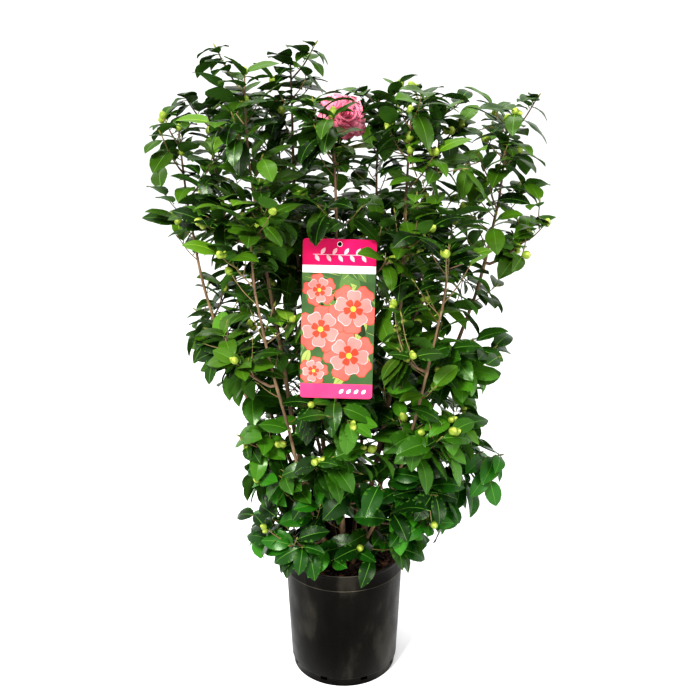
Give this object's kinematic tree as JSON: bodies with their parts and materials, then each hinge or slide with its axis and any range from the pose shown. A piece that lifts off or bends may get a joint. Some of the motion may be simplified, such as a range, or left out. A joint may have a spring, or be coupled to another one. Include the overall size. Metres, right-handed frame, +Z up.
{
  "type": "potted camellia shrub",
  "caption": "Upright leafy evergreen shrub on slender stems, with flower buds and a pink bloom, in a round tapered nursery pot, a picture card hung in front.",
  "frame": {"origin": "centre of the pot's flat underside", "axes": "+Z up along the pot and the plant, -Y to the front where the card hangs, +X to the right seen from the front"},
  "size_m": [0.8795, 0.6437, 1.4109],
  "materials": {
    "pot": "satin, scuffed",
    "soil": "matte bark chips",
    "bark": "matte",
    "foliage": "glossy leaf",
    "label": "printed, glossy"
  },
  "bodies": {
    "root": {"pot": "pot", "soil": "soil", "stem_left_outer": "bark", "stem_left_back": "bark", "stem_left_front": "bark", "stem_centre_left": "bark", "stem_centre": "bark", "stem_centre_right": "bark", "stem_right_inner": "bark", "stem_right_outer": "bark", "stem_front_left": "bark", "stem_front_right": "bark", "stem_back_left": "bark", "stem_back_right": "bark", "label": "label", "foliage_top_left_outer": "foliage", "foliage_top_left_back": "foliage", "foliage_top_left_front": "foliage", "foliage_top_centre_left": "foliage", "foliage_top_centre": "foliage", "foliage_top_centre_right": "foliage", "foliage_top_right_inner": "foliage", "foliage_top_right_outer": "foliage", "foliage_top_front_left": "foliage", "foliage_top_front_right": "foliage", "foliage_top_back_left": "foliage", "foliage_top_back_right": "foliage", "foliage_high_left_outer": "foliage", "foliage_high_left_back": "foliage", "foliage_high_left_front": "foliage", "foliage_high_centre_left": "foliage", "foliage_high_centre": "foliage", "foliage_high_centre_right": "foliage", "foliage_high_right_inner": "foliage", "foliage_high_right_outer": "foliage", "foliage_high_front_left": "foliage", "foliage_high_front_right": "foliage", "foliage_high_back_left": "foliage", "foliage_high_back_right": "foliage", "foliage_middle_left_outer": "foliage", "foliage_middle_left_back": "foliage", "foliage_middle_left_front": "foliage", "foliage_middle_centre_left": "foliage", "foliage_middle_centre": "foliage", "foliage_middle_centre_right": "foliage", "foliage_middle_right_inner": "foliage", "foliage_middle_right_outer": "foliage", "foliage_middle_front_left": "foliage", "foliage_middle_front_right": "foliage", "foliage_middle_back_left": "foliage", "foliage_middle_back_right": "foliage", "foliage_low_left_outer": "foliage", "foliage_low_left_back": "foliage", "foliage_low_left_front": "foliage", "foliage_low_centre": "foliage", "foliage_low_right_outer": "foliage", "foliage_low_front_left": "foliage", "foliage_low_front_right": "foliage", "foliage_low_back_left": "foliage"}
  },
  "joints": []
}
